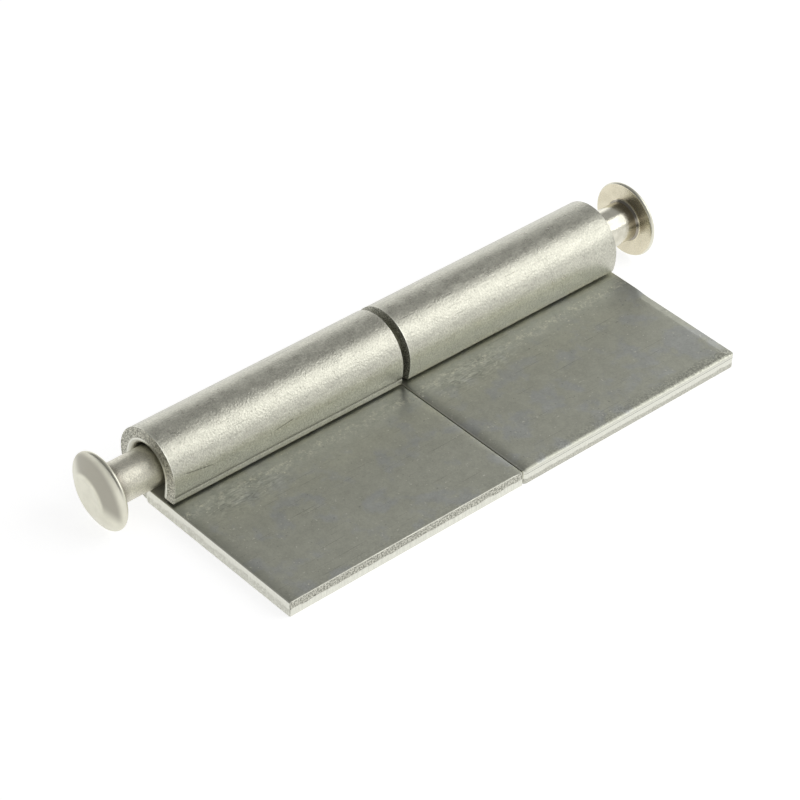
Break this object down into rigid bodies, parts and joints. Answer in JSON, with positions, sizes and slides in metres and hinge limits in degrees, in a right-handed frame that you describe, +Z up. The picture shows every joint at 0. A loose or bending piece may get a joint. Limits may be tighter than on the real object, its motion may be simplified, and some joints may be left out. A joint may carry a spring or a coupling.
{
  "type": "flag hinge",
  "caption": "Weld-on flag hinge: rolled sheet-steel leaves side by side on one loose double-headed pin, plain rectangular flags without holes.",
  "frame": {"origin": "bottom centre of the overall box: midway along the pin, midway from the flags' front edges to the knuckles' backs, in the plane of the flags' undersides", "axes": "+X along the pin from the left leaf to the right leaf, flags towards -Y, +Z up and square to the flags"},
  "size_m": [0.1352, 0.0478, 0.0155],
  "materials": {
    "leaf_steel": "mill-finish cold-rolled sheet, self colour",
    "pin_steel": "drawn bar with tumbled, lightly tarnished heads"
  },
  "bodies": {
    "left_leaf": {"left_leaf": "leaf_steel"},
    "right_leaf": {"right_leaf": "leaf_steel"},
    "pin": {"pin": "pin_steel"}
  },
  "joints": [
    {"name": "right_leaf_swing", "type": "hinge", "parent": "left_leaf", "child": "right_leaf", "pos_m": [0, 0.01613, 0.00775], "axis": [1, 0, 0], "continuous": true},
    {"name": "pin_slide", "type": "slide", "parent": "left_leaf", "child": "pin", "axis": [1, 0, 0], "range_m": [-0.0092, 0.0094]}
  ]
}
